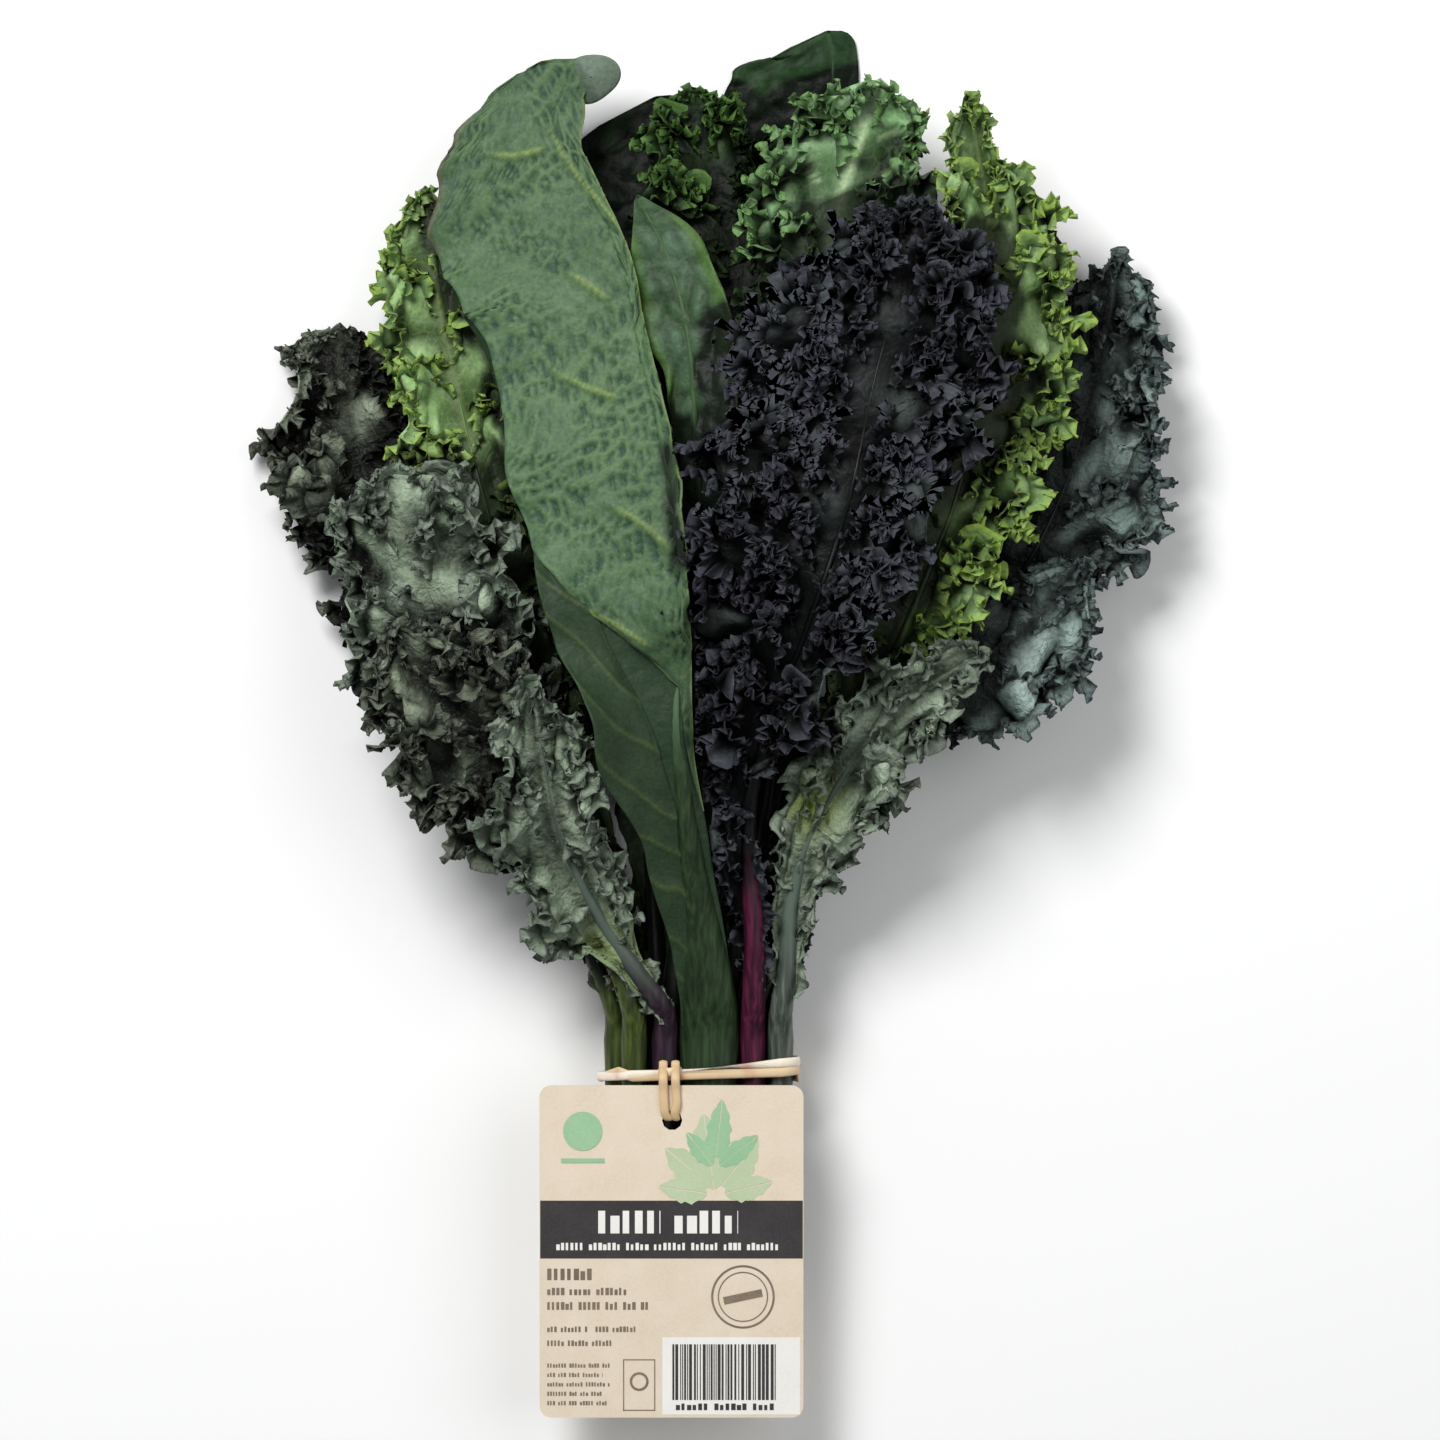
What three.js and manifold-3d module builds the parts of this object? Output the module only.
// A tied bunch of mixed kale, lying on its back, with a card swing tag.
// Millimetres, +Z up, +Y from the cut stems to the leaf tips.
import * as THREE from 'three';
import { mergeVertices } from 'three/addons/utils/BufferGeometryUtils.js';
import Module from 'manifold-3d';

const wasm = await Module();
wasm.setup();

// ---- driving dimensions -------------------------------------------------------------

const BAND_Y = -99.6; // where the rubber band holds the stems
const STRAIGHT_ABOVE_BAND = 8; // stems run parallel up to here
const STEM_RADIUS = 3.6;
const BAND_RADIUS = 1.25;
const BAND_GAP = 0.35;
const BAND_SLOPE = 0.08; // the band runs a little askew
const BAND_MIDDLE_X = -6.5;
const BAND_TURNS = 30; // corners of the ring round the stems
const KNOT_HALF = [2.9, 2.2, 1.9]; // half sizes of the knot
const KNOT_X = -15.4;
const KNOT_Y = -100.3;
const ROW_HEIGHTS = [6.5, 14.6, 22.8]; // stem centres above the surface, three rows
const CARD_WIDTH = 75.5;
const CARD_HEIGHT = 95.4;
const CARD_THICKNESS = 0.7;
const CARD_CORNER = 3.4;
const CARD_TOP_Y = -103.9;
const CARD_CENTRE_X = -14.2;
const CARD_HOLE = { x: -14.0, y: -113.9, radius: 2.9 };
const CARD_SLOPE = 0.052; // the card leans down towards the cut ends
const CARD_HOLE_Z = 30.1; // underside of the card at its hole
const BLADE_THICKNESS = 0.85;
const PRESSED_FLAT = 0.55; // undersides this close to the surface lie flat on it
const LEAF_GAP = 0.9; // clear height kept between stalks
const FACET_GAP = 0.45; // clear height kept between any two facets
const FACET_PROBE = 1.2; // pitch at which a facet is compared with the pile
const FINE_STEP = 7.4; // station pitch along a ruffled blade
const COARSE_STEP = 13; // station pitch along a bare stalk
const RIB_TAPER = 0.78; // share of its radius that a midrib loses from stalk to tip
const RIB_ABOVE = 0.12; // share of the midrib's radius that stands above the blade
const RIB_BELOW = 0.9; // share of it that hangs below
const BLADE_FROM = 1.15; // half width over rib radius where the blade begins
const BLADE_FULL = 2.45; // and where it is a full blade
const PHASE_STEP = 1.7; // turns each leaf's ruffles away from the last leaf's
const SIDE_PHASE = 1.3; // turns the two margins' ruffles apart
const SCALLOP_PHASE = 1.2;
const SAG_ROUNDS = 260;
const SAG_ALONG = 0.31; // pull of each neighbour along the leaf
const SAG_ACROSS = 0.19; // pull of each neighbour across it
const SAG_DROP = 0.1; // how far a free blade sinks in a round
const SAG_PACE = 0.65; // share of each move that is taken
const LIFT_ROUNDS = 14;
const STEEPEST = 1.7; // most that a steep facet's height grows
const FRONT_STALK_HALF_WIDTH = 8.1; // the front leaf's stalk is broad and flat

// The kinds of leaf: ruffle height at the margin, its wavelength, scallop depth, the loft
// that its crumpled blade keeps above the leaf below, and its colour.
const KINDS = {
  smooth: { ruffle: 2.2, wave: 46, scallop: 0.03, loft: 3, color: 0x55705a, roughness: 0.55 },
  dark: { ruffle: 2.2, wave: 52, scallop: 0.03, loft: 3, color: 0x24381f, roughness: 0.5 },
  green: { ruffle: 6.5, wave: 29, scallop: 0.12, loft: 7, color: 0x55743f, roughness: 0.55 },
  purple: { ruffle: 6.5, wave: 28, scallop: 0.12, loft: 7, color: 0x26272e, roughness: 0.5 },
  grey: { ruffle: 5.0, wave: 30, scallop: 0.1, loft: 5, color: 0x4a554e, roughness: 0.55 },
};

// The leaves from the bottom of the pile to the top. slot is [x, row] at the band, cut is
// the y of the cut end, and each row of rib is [x, y, left half width, right half width].
const LEAVES = [
  { name: 'leaf_back_green', kind: 'green', slot: [-18.2, 0], cut: -168, strips: 6, rib: [
    [-19, -60, 5, 5], [-22, -20, 12, 12], [-29, 28, 30, 30], [-36, 80, 34, 34],
    [-42, 122, 24, 24], [-44, 142, 5, 5]] },
  { name: 'leaf_back_purple', kind: 'purple', slot: [5.2, 0], cut: -172, strips: 6, rib: [
    [12, -60, 5, 5], [25, -22, 12, 12], [45, 20, 28, 28], [62, 68, 32, 32],
    [76, 108, 24, 24], [86, 134, 14, 14], [89, 147, 5, 5]] },
  { name: 'leaf_pointed_top', kind: 'dark', slot: [-2.6, 0], cut: -165, strips: 4, rib: [
    [2, -60, 4, 4], [11, -22, 8, 8], [21, 60, 16, 16], [27, 134, 22, 18],
    [31, 172, 25, 9], [32.2, 186, 21, 7.5], [32, 194, 13.5, 7],
    [30.5, 199.2, 5, 5]] },
  { name: 'leaf_broad_dark', kind: 'dark', slot: [-10.4, 0], cut: -170, strips: 6, rib: [
    [-9, -60, 4, 4], [-5, -20, 8, 8], [-3, 62, 18, 18], [-4, 111, 27, 26],
    [-9, 148, 28, 27], [-14, 168, 20, 20], [-19, 180, 5, 5]] },
  { name: 'leaf_left_upper', kind: 'purple', slot: [-26, 0], cut: -163, strips: 6, rib: [
    [-34, -66, 4, 4], [-50, -30, 8, 8], [-75, 14, 17, 17], [-95, 53, 24, 24],
    [-106, 82, 25, 24], [-110, 103, 18, 18], [-110, 115, 5, 5]] },
  { name: 'leaf_right_upper', kind: 'purple', slot: [13, 0], cut: -166, strips: 6, rib: [
    [19, -64, 4, 4], [30, -34, 6, 5], [45, -12, 9, 7], [66, 12, 17, 14], [86, 42, 21, 22],
    [98, 66, 22, 29], [106, 92, 21, 22], [112, 118, 15, 15], [114, 136, 4, 4]] },
  { name: 'leaf_top_left_curly', kind: 'green', slot: [-6.5, 1], cut: -167, strips: 6, rib: [
    [-4, -60, 4, 4], [4, -20, 7, 7], [8, 57, 16, 16], [8, 111, 23, 23],
    [1, 148, 26, 24], [-6, 170, 19, 16], [-9, 182, 8, 8]] },
  { name: 'leaf_left_green', kind: 'green', slot: [-22.1, 1], cut: -170, strips: 4, rib: [
    [-27, -60, 4, 4], [-37, -25, 7, 7], [-54, 18, 13, 13], [-69, 68, 18, 18],
    [-78, 105, 17, 17], [-83, 132, 14, 13], [-85, 154, 5, 5]] },
  { name: 'leaf_top_curly', kind: 'green', slot: [1.3, 1], cut: -172, strips: 6, rib: [
    [5, -60, 4, 4], [13, -20, 7, 7], [23, 57, 16, 16], [29, 111, 24, 24],
    [34, 148, 27, 26], [41, 170, 20, 18], [45, 183, 10, 10]] },
  { name: 'leaf_right_lower', kind: 'purple', slot: [16.9, 1], cut: -163, strips: 6, rib: [
    [21, -66, 4, 4], [30, -35, 5, 4], [43, -10, 9, 4], [60, 7, 15, 8], [74, 16, 18, 21],
    [88, 27, 19, 21], [106, 47, 5, 5]] },
  { name: 'leaf_left_middle', kind: 'grey', slot: [-29.9, 1], cut: -165, strips: 6, rib: [
    [-37, -66, 4, 4], [-50, -32, 9, 9], [-67, 4, 20, 20], [-83, 36, 28, 27],
    [-93, 59, 21, 21], [-98, 72, 6, 6]] },
  { name: 'leaf_right_yellow', kind: 'green', slot: [9.1, 1], cut: -169, strips: 6, rib: [
    [16, -62, 4, 4], [30, -24, 8, 7], [52, 26, 24, 19], [68, 68, 27, 21],
    [76, 105, 25, 25], [77, 139, 18, 20], [73, 164, 11, 7], [70, 179, 5, 4]] },
  { name: 'leaf_narrow_smooth', kind: 'smooth', slot: [-14.3, 1], cut: -166, strips: 4, rib: [
    [-10, -55, 4, 4], [-5, 5, 7, 7], [-5, 48, 10, 10], [-7, 80, 12, 12],
    [-9, 108, 13, 13.5], [-15, 132, 11, 11], [-24, 150, 3, 3]] },
  { name: 'leaf_left_lower', kind: 'purple', slot: [-25, 2], cut: -168, strips: 6, rib: [
    [-31, -68, 5, 5], [-43, -40, 12, 12], [-61, -13, 26, 21], [-81, 9, 23, 22],
    [-95, 28, 6, 6]] },
  { name: 'leaf_bottom_left', kind: 'grey', slot: [-16.2, 2], cut: -171, strips: 4, rib: [
    [-24, -72, 7, 6], [-37, -52, 18, 13], [-46, -32, 20, 15], [-51, -7, 14, 13],
    [-54, 13, 5, 4]] },
  { name: 'leaf_low_right', kind: 'grey', slot: [17, 2], cut: -167, strips: 4, rib: [
    [18.5, -74, 5, 6], [20, -52, 8, 10.5], [26, -32, 11, 15], [38, -11, 14, 17],
    [53, 6, 14, 13], [67, 15, 10, 9], [77, 20, 3, 3]] },
  { name: 'leaf_front_purple', kind: 'purple', slot: [9.2, 2], cut: -170, strips: 6, rib: [
    [9.6, -64, 6, 4], [8, -24, 15, 5], [14, 0, 23, 19], [24, 25, 32, 26], [36, 62, 43, 32],
    [44, 99, 40, 37], [52, 127, 25, 27], [58, 149, 6, 6]] },
  { name: 'leaf_front_smooth', kind: 'smooth', slot: [-3.4, 2], cut: -173, strips: 'folded', rib: [
    [-5, -66, 9, 7], [-9, -37, 13, 6], [-12, -6, 24, 4], [-12, 23, 35, 3.5],
    [-14, 51, 41, 3.5], [-17.5, 81, 44, 3.5], [-24.3, 111, 44, 3], [-28, 130, 49, 3],
    [-35, 147, 48, 3], [-43, 161, 42, 4], [-50, 173, 33, 12], [-52.5, 178, 25, 22],
    [-54.5, 183, 13, 21], [-56, 187.5, 4, 13]] },
];

// ---- the pile: a map of the highest surface so far -----------------------------------

const CELL = 1.5;
const MAP = { x0: -150, y0: -200, nx: 200, ny: 280 };
const pileHeight = new Float64Array(MAP.nx * MAP.ny);

function cellOf(x, y) {
  const cx = Math.min(Math.max(Math.floor((x - MAP.x0) / CELL), 0), MAP.nx - 1);
  const cy = Math.min(Math.max(Math.floor((y - MAP.y0) / CELL), 0), MAP.ny - 1);
  return [cx, cy];
}

function raisePile(x, y, z) {
  const [cx, cy] = cellOf(x, y);
  const at = cy * MAP.nx + cx;
  pileHeight[at] = Math.max(pileHeight[at], z);
}

function pileAround(x, y, reach) {
  const [cx, cy] = cellOf(x, y);
  let high = 0;
  for (let dy = -reach; dy <= reach; dy++) {
    for (let dx = -reach; dx <= reach; dx++) {
      const px = Math.min(Math.max(cx + dx, 0), MAP.nx - 1);
      const py = Math.min(Math.max(cy + dy, 0), MAP.ny - 1);
      high = Math.max(high, pileHeight[py * MAP.nx + px]);
    }
  }
  return high;
}

// ---- one leaf ------------------------------------------------------------------------

const smooth01 = (t) => {
  const c = Math.min(Math.max(t, 0), 1);
  return c * c * (3 - 2 * c);
};

// Half widths ride on the rib's own rows, eased between them.
function valueAlong(rows, ys, s, column) {
  let k = 0;
  while (k < ys.length - 2 && s > ys[k + 1]) k += 1;
  const t = smooth01((s - ys[k]) / (ys[k + 1] - ys[k]));
  return rows[k][column] * (1 - t) + rows[k + 1][column] * t;
}

function ribCurve(leaf) {
  const [slotX] = leaf.slot;
  const yTop = BAND_Y + STRAIGHT_ABOVE_BAND;
  const half = leaf.name === 'leaf_front_smooth' ? FRONT_STALK_HALF_WIDTH : STEM_RADIUS;
  const rows = [[slotX, yTop, half, half], [slotX, yTop + 8, half, half], ...leaf.rib];
  const points = rows.map((row) => new THREE.Vector3(row[0], row[1], 0));
  const curve = new THREE.CatmullRomCurve3(points, false, 'centripetal');
  const length = curve.getLength();
  const divisions = 400;
  const marks = curve.getLengths(divisions);
  const ys = rows.map((row, k) => marks[Math.round((k / (rows.length - 1)) * divisions)]);
  return { curve, rows, ys, length, half };
}

// Stations along the leaf: sparse on the bare stalk, close on the ruffled blade.
function stationsOf(rib) {
  const stations = [0];
  let s = 0;
  while (s < rib.length - FINE_STEP * 0.6) {
    const wide = Math.max(valueAlong(rib.rows, rib.ys, s, 2), valueAlong(rib.rows, rib.ys, s, 3));
    s += wide > 7 ? FINE_STEP : COARSE_STEP;
    stations.push(Math.min(s, rib.length));
  }
  stations[stations.length - 1] = rib.length;
  return stations;
}

// Cross positions from the left margin to the right one, as shares of the half width. The
// front leaf is folded along its midrib, so nearly all that shows of it is its left half.
const CROSS = {
  4: [-1, -0.55, 0, 0.55, 1],
  6: [-1, -0.66, -0.3, 0, 0.3, 0.66, 1],
  folded: [-1, -0.72, -0.46, -0.22, 0, 0.5, 1],
};

function leafGrid(leaf, index) {
  const kind = KINDS[leaf.kind];
  const rib = ribCurve(leaf);
  const cross = CROSS[leaf.strips];
  const slotZ = ROW_HEIGHTS[leaf.slot[1]];
  const rows = [];
  // the straight stalk below the band, down to the cut end
  rows.push(stalkRow(leaf.slot[0], leaf.cut, slotZ, rib.half, cross));
  for (const s of stationsOf(rib)) {
    const u = Math.min(s / rib.length, 1);
    const p = rib.curve.getPointAt(u);
    const d = rib.curve.getTangentAt(u);
    const stalk = s < 1;
    if (stalk) {
      rows.push(stalkRow(p.x, p.y, slotZ, rib.half, cross));
      continue;
    }
    const left = valueAlong(rib.rows, rib.ys, s, 2);
    const right = valueAlong(rib.rows, rib.ys, s, 3);
    const ribRadius = STEM_RADIUS * (1 - RIB_TAPER * u);
    const row = { fixed: false, points: [] };
    cross.forEach((v, j) => {
      const side = v < 0 ? -1 : 1;
      const half = v < 0 ? left : right;
      const phase = (2 * Math.PI * s) / kind.wave + index * PHASE_STEP + side * SIDE_PHASE;
      const blade = smooth01((half / ribRadius - BLADE_FROM) / (BLADE_FULL - BLADE_FROM));
      const wavy = smooth01((half - 6) / 12);
      const scallop = 1 + kind.scallop * wavy * Math.sin(phase + SCALLOP_PHASE) * Math.abs(v);
      const angle = Math.PI * (1 - (j + 0.5) / cross.length);
      const across = (1 - blade) * half * Math.cos(angle) + blade * v * half * scallop;
      const round = ribRadius * Math.sin(angle);
      const ridge = v === 0 ? ribRadius : 0;
      row.points.push({
        x: p.x + d.y * across,
        y: p.y - d.x * across,
        z: slotZ,
        wave: kind.ruffle * wavy * Math.abs(v) ** 1.5 * Math.sin(phase),
        blade,
        loft: LEAF_GAP + kind.loft * wavy,
        up: (1 - blade) * round + blade * (BLADE_THICKNESS / 2 + ridge * RIB_ABOVE),
        down: (1 - blade) * round + blade * (BLADE_THICKNESS / 2 + ridge * RIB_BELOW),
      });
    });
    rows.push(row);
  }
  return rows;
}

function stalkRow(x, y, z, half, cross) {
  const points = cross.map((v, j) => {
    const angle = Math.PI * (1 - (j + 0.5) / cross.length);
    const round = STEM_RADIUS * Math.sin(angle);
    return {
      x: x + half * Math.cos(angle), y, z, wave: 0, blade: 0, loft: LEAF_GAP, up: round, down: round };
  });
  return { fixed: true, points };
}

// The lowest height for an underside: straight on the surface, or lofted over the pile.
function restHeight(x, y, reach, loft) {
  const below = pileAround(x, y, reach);
  return below > 0 ? below + loft : 0;
}

// Lays the leaf on the pile: it sags like a membrane and is held up by what is below it.
function drape(rows) {
  const floors = rows.map((row) => row.points.map((p) => (
    restHeight(p.x, p.y, p.blade > 0.3 ? 2 : 0, p.loft) + p.down - p.wave)));
  const n = rows.length;
  for (let round = 0; round < SAG_ROUNDS; round++) {
    for (let i = 2; i < n; i++) {
      if (rows[i].fixed) continue;
      const points = rows[i].points;
      const m = points.length;
      for (let j = 0; j < m; j++) {
        const before = rows[i - 1].points[j].z;
        const after = rows[Math.min(i + 1, n - 1)].points[j].z;
        const leftZ = points[Math.max(j - 1, 0)].z;
        const rightZ = points[Math.min(j + 1, m - 1)].z;
        const target = SAG_ALONG * (before + after) + SAG_ACROSS * (leftZ + rightZ) - SAG_DROP;
        points[j].z = Math.max(points[j].z + (target - points[j].z) * SAG_PACE, floors[i][j]);
      }
    }
  }
}

// Blade thickness is kept square to the surface, so steep stretches grow taller.
function faceHeights(rows) {
  return rows.map((row, i) => row.points.map((p, j) => {
    const mid = p.z + p.wave;
    const next = rows[Math.min(i + 1, rows.length - 1)].points[j];
    const prev = rows[Math.max(i - 1, 0)].points[j];
    const right = row.points[Math.min(j + 1, row.points.length - 1)];
    const left = row.points[Math.max(j - 1, 0)];
    const slope = (a, b) => {
      const run = Math.hypot(a.x - b.x, a.y - b.y);
      return run > 0.5 ? (a.z + a.wave - b.z - b.wave) / run : 0;
    };
    const steep = Math.min(Math.hypot(1, slope(next, prev), slope(right, left)), STEEPEST);
    const factor = 1 + (steep - 1) * p.blade;
    const bottom = mid - p.down * factor;
    return { x: p.x, y: p.y, top: mid + p.up * factor, bottom: bottom < PRESSED_FLAT ? 0 : bottom };
  }));
}

// Visits points spread over every facet pair of the leaf.
function overFacets(faces, visit) {
  for (let i = 0; i < faces.length - 1; i++) {
    for (let j = 0; j < faces[i].length - 1; j++) {
      const a = faces[i][j];
      const b = faces[i][j + 1];
      const c = faces[i + 1][j + 1];
      const d = faces[i + 1][j];
      const along = Math.max(Math.hypot(d.x - a.x, d.y - a.y), Math.hypot(c.x - b.x, c.y - b.y));
      const across = Math.max(Math.hypot(b.x - a.x, b.y - a.y), Math.hypot(c.x - d.x, c.y - d.y));
      const nu = Math.ceil(along / FACET_PROBE) + 1;
      const nv = Math.ceil(across / FACET_PROBE) + 1;
      const mirrored = j < (faces[i].length - 1) / 2;
      for (let iu = 0; iu <= nu; iu++) {
        for (let iv = 0; iv <= nv; iv++) {
          const u = iu / nu;
          const v = iv / nv;
          const weights = facetWeights(u, v, mirrored);
          const mix = (key) => (
            a[key] * weights[0] + b[key] * weights[1] + c[key] * weights[2] + d[key] * weights[3]);
          visit(mix('x'), mix('y'), mix('top'), mix('bottom'), i, j, weights);
        }
      }
    }
  }
}

// Flat facets: a quad is split along a-c, or along b-d where it is mirrored.
function facetWeights(u, v, mirrored) {
  if (!mirrored) {
    return v >= u ? [1 - v, v - u, u, 0] : [1 - u, 0, v, u - v];
  }
  return u + v <= 1 ? [1 - u - v, v, 0, u] : [0, 1 - u, u + v - 1, 1 - v];
}

// Lifts whatever facet still dips into the pile.
function liftClear(rows) {
  for (let round = 0; round < LIFT_ROUNDS; round++) {
    const faces = faceHeights(rows);
    const lift = rows.map((row) => row.points.map(() => 0));
    let worst = 0;
    overFacets(faces, (x, y, top, bottom, i, j, w) => {
      if (rows[i].fixed) return;
      const reach = rows[i].points[j].blade > 0.3 ? 1 : 0;
      const lack = restHeight(x, y, reach, FACET_GAP) - bottom;
      if (lack <= 0.01) return;
      worst = Math.max(worst, lack);
      const corners = [[i, j], [i, j + 1], [i + 1, j + 1], [i + 1, j]];
      corners.forEach(([ci, cj], k) => {
        if (w[k] > 0.05) lift[ci][cj] = Math.max(lift[ci][cj], lack * Math.min(1, w[k] + 0.4));
      });
    });
    if (worst < 0.02) break;
    rows.forEach((row, i) => {
      if (row.fixed) return;
      row.points.forEach((p, j) => {
        p.z += lift[i][j];
      });
    });
  }
}

function leafGeometry(faces) {
  const n = faces.length;
  const m = faces[0].length;
  const position = [];
  for (const row of faces) {
    for (const p of row) position.push(p.x, p.y, p.top);
    for (const p of row) position.push(p.x, p.y, p.bottom);
  }
  const T = (i, j) => i * 2 * m + j;
  const B = (i, j) => i * 2 * m + m + j;
  const index = [];
  const quad = (a, b, c, d) => index.push(a, b, c, a, c, d);
  for (let i = 0; i < n - 1; i++) {
    for (let j = 0; j < m - 1; j++) {
      if (j < (m - 1) / 2) {
        quad(T(i, j + 1), T(i + 1, j + 1), T(i + 1, j), T(i, j));
        index.push(B(i, j + 1), B(i + 1, j), B(i + 1, j + 1), B(i, j + 1), B(i, j), B(i + 1, j));
      } else {
        quad(T(i, j), T(i, j + 1), T(i + 1, j + 1), T(i + 1, j));
        index.push(B(i, j), B(i + 1, j + 1), B(i, j + 1), B(i, j), B(i + 1, j), B(i + 1, j + 1));
      }
    }
    quad(T(i, 0), T(i + 1, 0), B(i + 1, 0), B(i, 0));
    quad(B(i, m - 1), B(i + 1, m - 1), T(i + 1, m - 1), T(i, m - 1));
  }
  for (let j = 0; j < m - 1; j++) {
    quad(B(0, j), B(0, j + 1), T(0, j + 1), T(0, j));
    quad(T(n - 1, j), T(n - 1, j + 1), B(n - 1, j + 1), B(n - 1, j));
  }
  const geometry = new THREE.BufferGeometry();
  geometry.setAttribute('position', new THREE.Float32BufferAttribute(position, 3));
  geometry.setIndex(index);
  return geometry;
}

function makeLeaf(leaf, index) {
  const rows = leafGrid(leaf, index);
  drape(rows);
  liftClear(rows);
  const faces = faceHeights(rows);
  overFacets(faces, (x, y, top) => raisePile(x, y, top));
  const kind = KINDS[leaf.kind];
  const material = new THREE.MeshStandardMaterial({
    color: kind.color, roughness: kind.roughness, metalness: 0 });
  const mesh = new THREE.Mesh(leafGeometry(faces), material);
  mesh.name = leaf.name;
  return mesh;
}

// ---- the rubber band -----------------------------------------------------------------

// Centres [x, z] of the stems at the band; the broad stalk counts as two.
function stemCircles() {
  const circles = [];
  for (const leaf of LEAVES) {
    const z = ROW_HEIGHTS[leaf.slot[1]];
    const spread = leaf.name === 'leaf_front_smooth' ? FRONT_STALK_HALF_WIDTH - STEM_RADIUS : 0;
    circles.push([leaf.slot[0] - spread, z], [leaf.slot[0] + spread, z]);
  }
  return circles;
}

// Sweeps a round section along a closed run of points, as one closed solid.
function closedTube(points, radius, sides, up) {
  const n = points.length;
  const position = [];
  const index = [];
  for (let i = 0; i < n; i++) {
    const tangent = points[(i + 1) % n].clone().sub(points[(i + n - 1) % n]).normalize();
    const out = new THREE.Vector3().crossVectors(tangent, up).normalize();
    const rise = new THREE.Vector3().crossVectors(out, tangent).normalize();
    for (let k = 0; k < sides; k++) {
      const angle = (2 * Math.PI * (k + 0.5)) / sides;
      const p = points[i].clone();
      p.addScaledVector(out, radius * Math.cos(angle));
      p.addScaledVector(rise, radius * Math.sin(angle));
      position.push(p.x, p.y, p.z);
      const a = i * sides + k;
      const b = i * sides + ((k + 1) % sides);
      const c = ((i + 1) % n) * sides + ((k + 1) % sides);
      const d = ((i + 1) % n) * sides + k;
      index.push(a, c, b, a, d, c);
    }
  }
  const geometry = new THREE.BufferGeometry();
  geometry.setAttribute('position', new THREE.Float32BufferAttribute(position, 3));
  geometry.setIndex(index);
  return geometry;
}

function solidOf(geometry) {
  const bare = geometry.clone();
  bare.deleteAttribute('normal');
  bare.deleteAttribute('uv');
  const merged = mergeVertices(bare, 1e-4);
  return new wasm.Manifold(new wasm.Mesh({
    numProp: 3,
    vertProperties: new Float32Array(merged.attributes.position.array),
    triVerts: new Uint32Array(merged.index.array),
  }));
}

function geometryOf(solid) {
  const mesh = solid.getMesh();
  const geometry = new THREE.BufferGeometry();
  geometry.setAttribute('position', new THREE.Float32BufferAttribute(mesh.vertProperties, 3));
  geometry.setIndex(Array.from(mesh.triVerts));
  return geometry;
}

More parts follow.
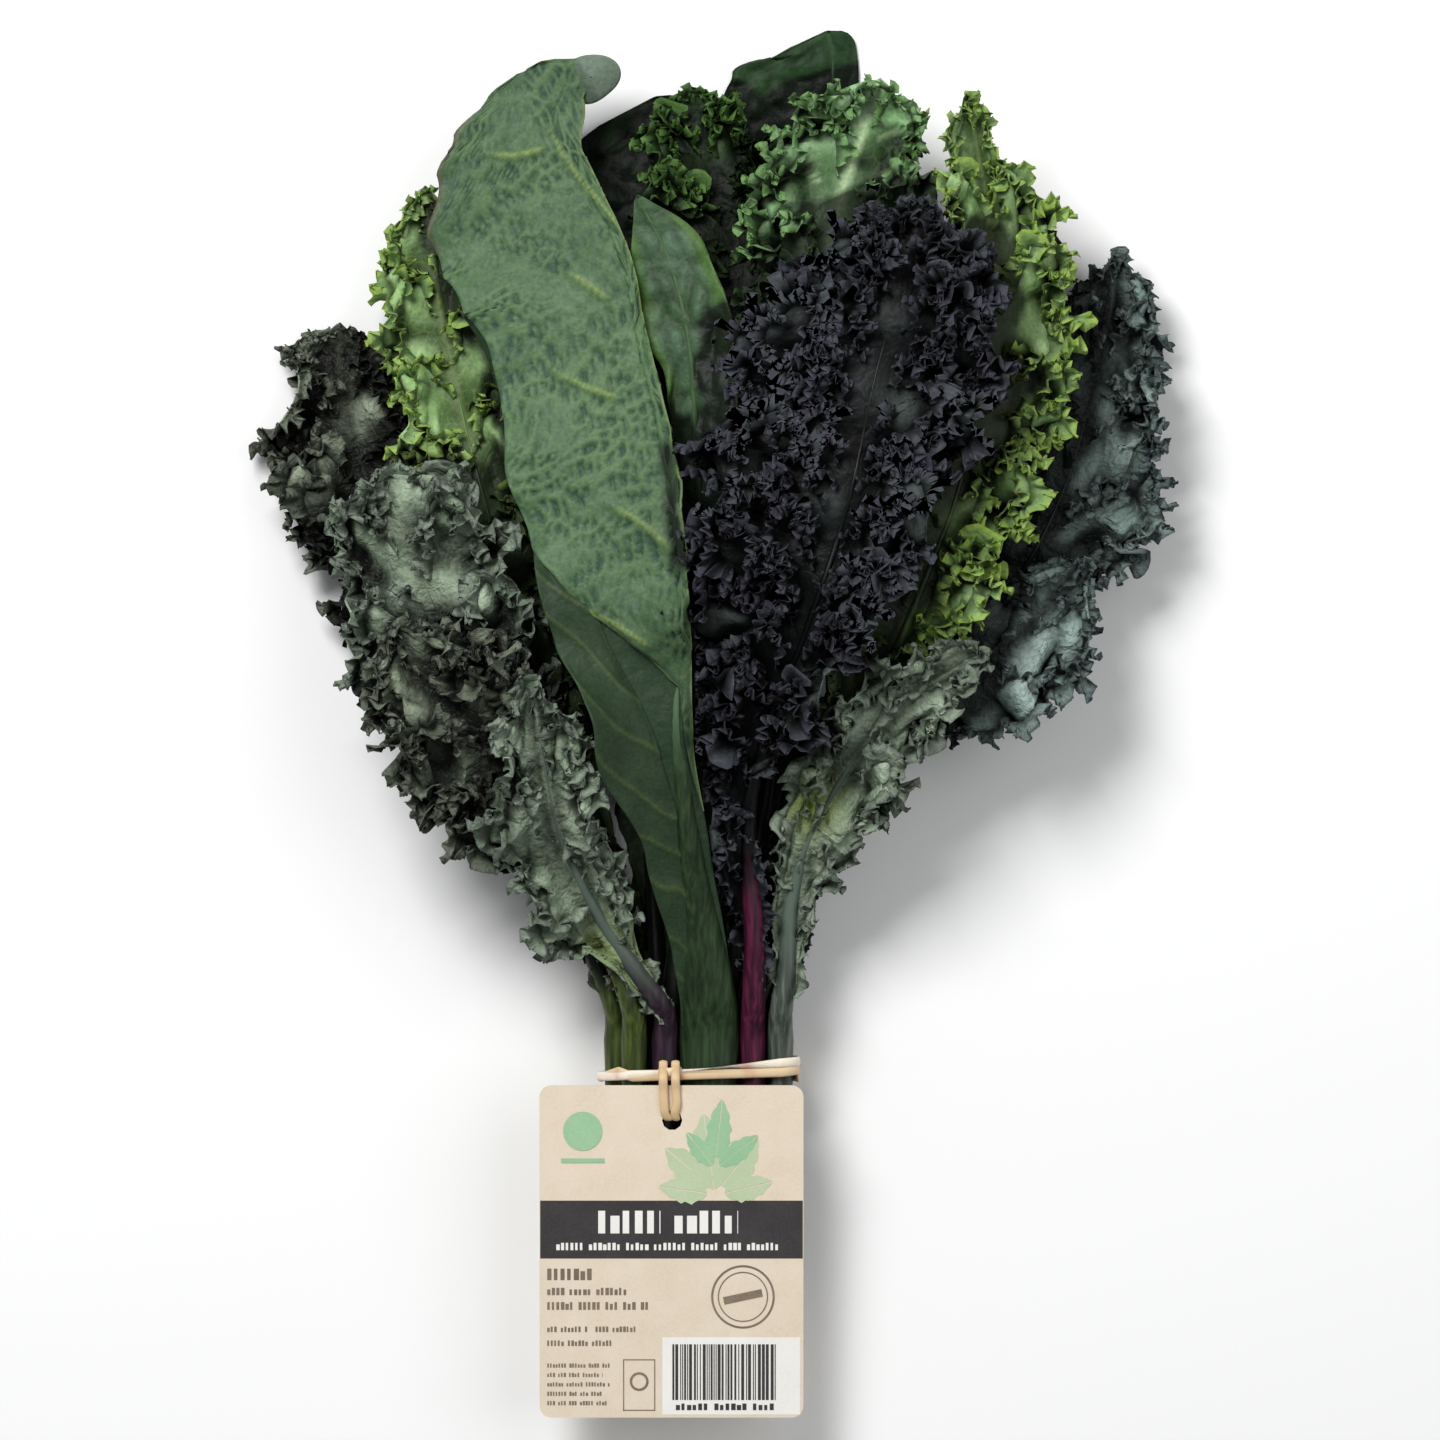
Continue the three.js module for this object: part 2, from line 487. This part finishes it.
function makeBand() {
  const reach = STEM_RADIUS + BAND_GAP + BAND_RADIUS;
  const circles = stemCircles();
  const ring = [];
  for (let k = 0; k < BAND_TURNS; k++) {
    const angle = (2 * Math.PI * (k + 0.5)) / BAND_TURNS;
    const nx = Math.cos(angle);
    const nz = Math.sin(angle);
    const far = circles.reduce((best, c) => (
      c[0] * nx + c[1] * nz > best[0] * nx + best[1] * nz ? c : best));
    const x = far[0] + reach * nx;
    const y = BAND_Y + BAND_SLOPE * (x - BAND_MIDDLE_X);
    ring.push(new THREE.Vector3(x, y, far[1] + reach * nz));
  }
  const band = solidOf(closedTube(ring, BAND_RADIUS, 6, new THREE.Vector3(0, 1, 0)));
  const topZ = ROW_HEIGHTS[2] + reach;
  // the loop leaves the knot, runs over the card, down its hole and back below it
  const loop = [
    [KNOT_X, -100.4, topZ + 1.2], [KNOT_X + 0.3, -104.0, CARD_HOLE_Z + 2.9],
    [KNOT_X + 0.8, -108.5, CARD_HOLE_Z + 2.9], [CARD_HOLE.x, -112.6, CARD_HOLE_Z + 2.4],
    [CARD_HOLE.x, -114.2, CARD_HOLE_Z + 0.6], [CARD_HOLE.x, -112.6, CARD_HOLE_Z - 1.5],
    [KNOT_X + 0.9, -108.5, CARD_HOLE_Z - 1.6], [KNOT_X + 0.4, -104.0, topZ - 0.3],
    [KNOT_X, -100.4, topZ - 0.2],
  ];
  const smoothLoop = new THREE.CatmullRomCurve3(
    loop.map((p) => new THREE.Vector3(...p)), true, 'centripetal');
  const loopPoints = smoothLoop.getSpacedPoints(20).slice(0, 20);
  const hitch = solidOf(closedTube(loopPoints, BAND_RADIUS, 6, new THREE.Vector3(1, 0, 0)));
  const knot = new THREE.SphereGeometry(1, 8, 6);
  knot.scale(...KNOT_HALF);
  knot.translate(KNOT_X, KNOT_Y, topZ + 0.7);
  const solid = band.add(hitch).add(solidOf(knot));
  const mesh = new THREE.Mesh(geometryOf(solid), new THREE.MeshStandardMaterial({
    color: 0xd8c8a0, roughness: 0.7, metalness: 0 }));
  mesh.name = 'rubber_band';
  return mesh;
}

// ---- the card swing tag --------------------------------------------------------------

function makeCard() {
  const w = CARD_WIDTH / 2;
  const h = CARD_HEIGHT / 2;
  const r = CARD_CORNER;
  const centreY = CARD_TOP_Y - h;
  const outline = new THREE.Shape();
  outline.moveTo(-w + r, -h);
  outline.lineTo(w - r, -h);
  outline.absarc(w - r, -h + r, r, -Math.PI / 2, 0, false);
  outline.lineTo(w, h - r);
  outline.absarc(w - r, h - r, r, 0, Math.PI / 2, false);
  outline.lineTo(-w + r, h);
  outline.absarc(-w + r, h - r, r, Math.PI / 2, Math.PI, false);
  outline.lineTo(-w, -h + r);
  outline.absarc(-w + r, -h + r, r, Math.PI, 1.5 * Math.PI, false);
  const hole = new THREE.Path();
  hole.absarc(CARD_HOLE.x - CARD_CENTRE_X, CARD_HOLE.y - centreY, CARD_HOLE.radius, 0, 2 * Math.PI, true);
  outline.holes.push(hole);
  const geometry = new THREE.ExtrudeGeometry(outline, {
    depth: CARD_THICKNESS, bevelEnabled: false, curveSegments: 5 });
  const mesh = new THREE.Mesh(geometry, new THREE.MeshStandardMaterial({
    color: 0xe6d7c1, roughness: 0.75, metalness: 0 }));
  mesh.rotation.x = Math.atan(CARD_SLOPE);
  const rise = CARD_SLOPE * (centreY - CARD_HOLE.y);
  mesh.position.set(CARD_CENTRE_X, centreY, CARD_HOLE_Z + rise);
  mesh.name = 'card_tag';
  return mesh;
}

// ---- the bunch -----------------------------------------------------------------------

const bunch = new THREE.Group();
LEAVES.forEach((leaf, index) => bunch.add(makeLeaf(leaf, index)));
bunch.add(makeBand());
bunch.add(makeCard());

// The origin is under the middle of the whole bunch, on the surface it lies on.
bunch.updateMatrixWorld(true);
const box = new THREE.Box3().setFromObject(bunch);
const group = new THREE.Group();
bunch.position.set(-(box.min.x + box.max.x) / 2, -(box.min.y + box.max.y) / 2, -box.min.z);
group.add(bunch);

export default group;
